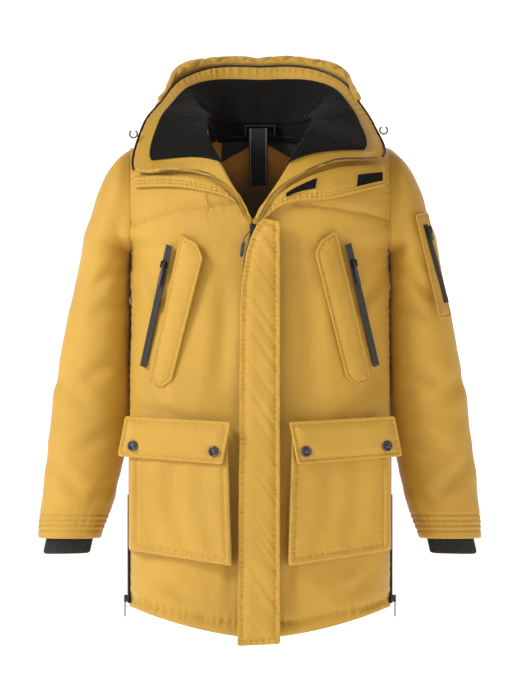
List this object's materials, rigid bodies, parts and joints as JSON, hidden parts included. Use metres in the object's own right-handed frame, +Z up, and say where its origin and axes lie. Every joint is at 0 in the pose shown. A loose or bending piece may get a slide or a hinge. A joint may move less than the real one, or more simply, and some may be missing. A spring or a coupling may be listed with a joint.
{
  "type": "padded parka",
  "caption": "Padded hip-length parka with an open fleece-lined collar, folded hood, storm placket, zipped chest pockets and flapped cargo pockets.",
  "frame": {"origin": "centre of the underside of the hanger loop at the back of the neck, where a hook bears", "axes": "+Z up along the coat, -Y out of the front, +X towards the wearer's left"},
  "size_m": [0.757, 0.3819, 1.0008],
  "materials": {
    "shell_fabric": "mustard yellow plain-weave shell, padded",
    "lining_fabric": "thin smooth lining, orange brown",
    "fleece": "black short-pile fleece",
    "rib_knit": "black rib knit",
    "black_tape": "black woven tape",
    "hook_tape": "black hook-and-loop tape",
    "cord_fabric": "black braided cord",
    "zip_tape": "black coated water-resistant zip",
    "slider_metal": "dark enamelled slider",
    "pull_rubber": "dark grey moulded pull",
    "snap_metal": "gunmetal snap"
  },
  "bodies": {
    "coat": {"back_lining": "lining_fabric", "back_panel": "shell_fabric", "cargo_pocket_left": "shell_fabric", "cargo_pocket_right": "shell_fabric", "chest_zip_left": "zip_tape", "chest_zip_right": "zip_tape", "collar_fleece": "fleece", "collar_patch_end": "hook_tape", "collar_patch_fold": "hook_tape", "collar_shell": "shell_fabric", "front_lining_left": "lining_fabric", "front_lining_right": "lining_fabric", "front_panel_left": "shell_fabric", "front_panel_right": "shell_fabric", "hanger_loop": "black_tape", "hood_cord_left": "cord_fabric", "hood_cord_right": "cord_fabric", "hood_zip": "zip_tape", "lapel_left": "shell_fabric", "lapel_right": "shell_fabric", "main_zip_tape_left": "zip_tape", "main_zip_tape_right": "zip_tape", "neck_facing": "fleece", "neck_label": "black_tape", "side_zip_left": "zip_tape", "side_zip_right": "zip_tape", "snap_stud_inner_left": "snap_metal", "snap_stud_inner_right": "snap_metal", "snap_stud_outer_left": "snap_metal", "snap_stud_outer_right": "snap_metal"},
    "sleeve_right": {"sleeve_right": "shell_fabric", "sleeve_lining_right": "lining_fabric", "knit_cuff_right": "rib_knit"},
    "sleeve_left": {"sleeve_left": "shell_fabric", "sleeve_lining_left": "lining_fabric", "knit_cuff_left": "rib_knit", "arm_pocket_panel": "shell_fabric", "arm_zip": "zip_tape"},
    "hood": {"hood_shell": "shell_fabric"},
    "placket": {"placket": "shell_fabric"},
    "cargo_flap_right": {"cargo_flap_right": "shell_fabric", "snap_cap_inner_right": "snap_metal", "snap_cap_outer_right": "snap_metal"},
    "chest_flap_right": {"chest_flap_right": "shell_fabric"},
    "cargo_flap_left": {"cargo_flap_left": "shell_fabric", "snap_cap_inner_left": "snap_metal", "snap_cap_outer_left": "snap_metal"},
    "chest_flap_left": {"chest_flap_left": "shell_fabric"},
    "main_zip_slider": {"main_zip_slider": "slider_metal"},
    "main_zip_pull": {"main_zip_pull": "pull_rubber"},
    "chest_zip_right_slider": {"chest_zip_right_slider": "slider_metal"},
    "chest_zip_right_pull": {"chest_zip_right_pull": "pull_rubber"},
    "chest_zip_left_slider": {"chest_zip_left_slider": "slider_metal"},
    "chest_zip_left_pull": {"chest_zip_left_pull": "pull_rubber"},
    "arm_zip_slider": {"arm_zip_slider": "slider_metal"},
    "arm_zip_pull": {"arm_zip_pull": "pull_rubber"},
    "side_zip_right_slider": {"side_zip_right_slider": "slider_metal"},
    "side_zip_right_pull": {"side_zip_right_pull": "pull_rubber"},
    "side_zip_left_slider": {"side_zip_left_slider": "slider_metal"},
    "side_zip_left_pull": {"side_zip_left_pull": "pull_rubber"}
  },
  "joints": [
    {"name": "sleeve_right_raise", "type": "hinge", "parent": "coat", "child": "sleeve_right", "pos_m": [-0.222, -0.082, -0.04], "axis": [0, 1, 0], "range_deg": [0, 60]},
    {"name": "sleeve_left_raise", "type": "hinge", "parent": "coat", "child": "sleeve_left", "pos_m": [0.222, -0.082, -0.04], "axis": [0, -1, 0], "range_deg": [0, 60]},
    {"name": "hood_lift", "type": "hinge", "parent": "coat", "child": "hood", "pos_m": [0, 0.062, 0.106], "axis": [1, 0, 0], "range_deg": [0, 60]},
    {"name": "placket_open", "type": "hinge", "parent": "coat", "child": "placket", "pos_m": [0.034, -0.2355, -0.5], "axis": [0, 0, 1], "range_deg": [0, 110]},
    {"name": "cargo_flap_right_lift", "type": "hinge", "parent": "coat", "child": "cargo_flap_right", "pos_m": [-0.048, -0.25711, -0.504], "axis": [-0.9386, 0.3416, 0.0473], "range_deg": [0, 120]},
    {"name": "chest_flap_right_open", "type": "hinge", "parent": "coat", "child": "chest_flap_right", "pos_m": [-0.133, -0.20749, -0.189], "axis": [-0.2109, 0.0984, -0.9725], "range_deg": [0, 100]},
    {"name": "cargo_flap_left_lift", "type": "hinge", "parent": "coat", "child": "cargo_flap_left", "pos_m": [0.048, -0.25711, -0.504], "axis": [-0.9386, -0.3416, -0.0473], "range_deg": [0, 120]},
    {"name": "chest_flap_left_open", "type": "hinge", "parent": "coat", "child": "chest_flap_left", "pos_m": [0.128, -0.20977, -0.182], "axis": [-0.2286, -0.1066, 0.9677], "range_deg": [0, 100]},
    {"name": "main_zip_slide", "type": "slide", "parent": "coat", "child": "main_zip_slider", "axis": [0, 0, -1], "range_m": [0, 0.65]},
    {"name": "main_zip_pull_swing", "type": "hinge", "parent": "main_zip_slider", "child": "main_zip_pull", "pos_m": [-0.012, -0.22748, -0.179], "axis": [-1, 0, 0], "range_deg": [0, 150]},
    {"name": "chest_zip_right_slide", "type": "slide", "parent": "coat", "child": "chest_zip_right_slider", "axis": [-0.2122, 0.1718, -0.962], "range_m": [-0.02, 0.15]},
    {"name": "chest_zip_right_pull_swing", "type": "hinge", "parent": "chest_zip_right_slider", "child": "chest_zip_right_pull", "pos_m": [-0.16267, -0.20183, -0.23782], "axis": [-0.7476, 0.6054, 0.2731], "range_deg": [0, 150]},
    {"name": "chest_zip_left_slide", "type": "slide", "parent": "coat", "child": "chest_zip_left_slider", "axis": [0.2259, 0.1829, -0.9568], "range_m": [-0.02, 0.15]},
    {"name": "chest_zip_left_pull_swing", "type": "hinge", "parent": "chest_zip_left_slider", "child": "chest_zip_left_pull", "pos_m": [0.15869, -0.20513, -0.23566], "axis": [-0.7436, -0.6021, -0.2907], "range_deg": [0, 150]},
    {"name": "arm_zip_slide", "type": "slide", "parent": "sleeve_left", "child": "arm_zip_slider", "axis": [0.2631, 0.0008, -0.9648], "range_m": [0, 0.11]},
    {"name": "arm_zip_pull_swing", "type": "hinge", "parent": "arm_zip_slider", "child": "arm_zip_pull", "pos_m": [0.28671, -0.14386, -0.17729], "axis": [-0.498, -0.8564, -0.1365], "range_deg": [0, 150]},
    {"name": "side_zip_right_slide", "type": "slide", "parent": "coat", "child": "side_zip_right_slider", "axis": [0, 0, 1], "range_m": [0, 0.15]},
    {"name": "side_zip_right_pull_swing", "type": "hinge", "parent": "side_zip_right_slider", "child": "side_zip_right_pull", "pos_m": [-0.2294, -0.101, -0.803], "axis": [0, 1, 0], "range_deg": [0, 150]},
    {"name": "side_zip_left_slide", "type": "slide", "parent": "coat", "child": "side_zip_left_slider", "axis": [0, 0, 1], "range_m": [0, 0.15]},
    {"name": "side_zip_left_pull_swing", "type": "hinge", "parent": "side_zip_left_slider", "child": "side_zip_left_pull", "pos_m": [0.2294, -0.101, -0.803], "axis": [0, -1, 0], "range_deg": [0, 150]}
  ]
}
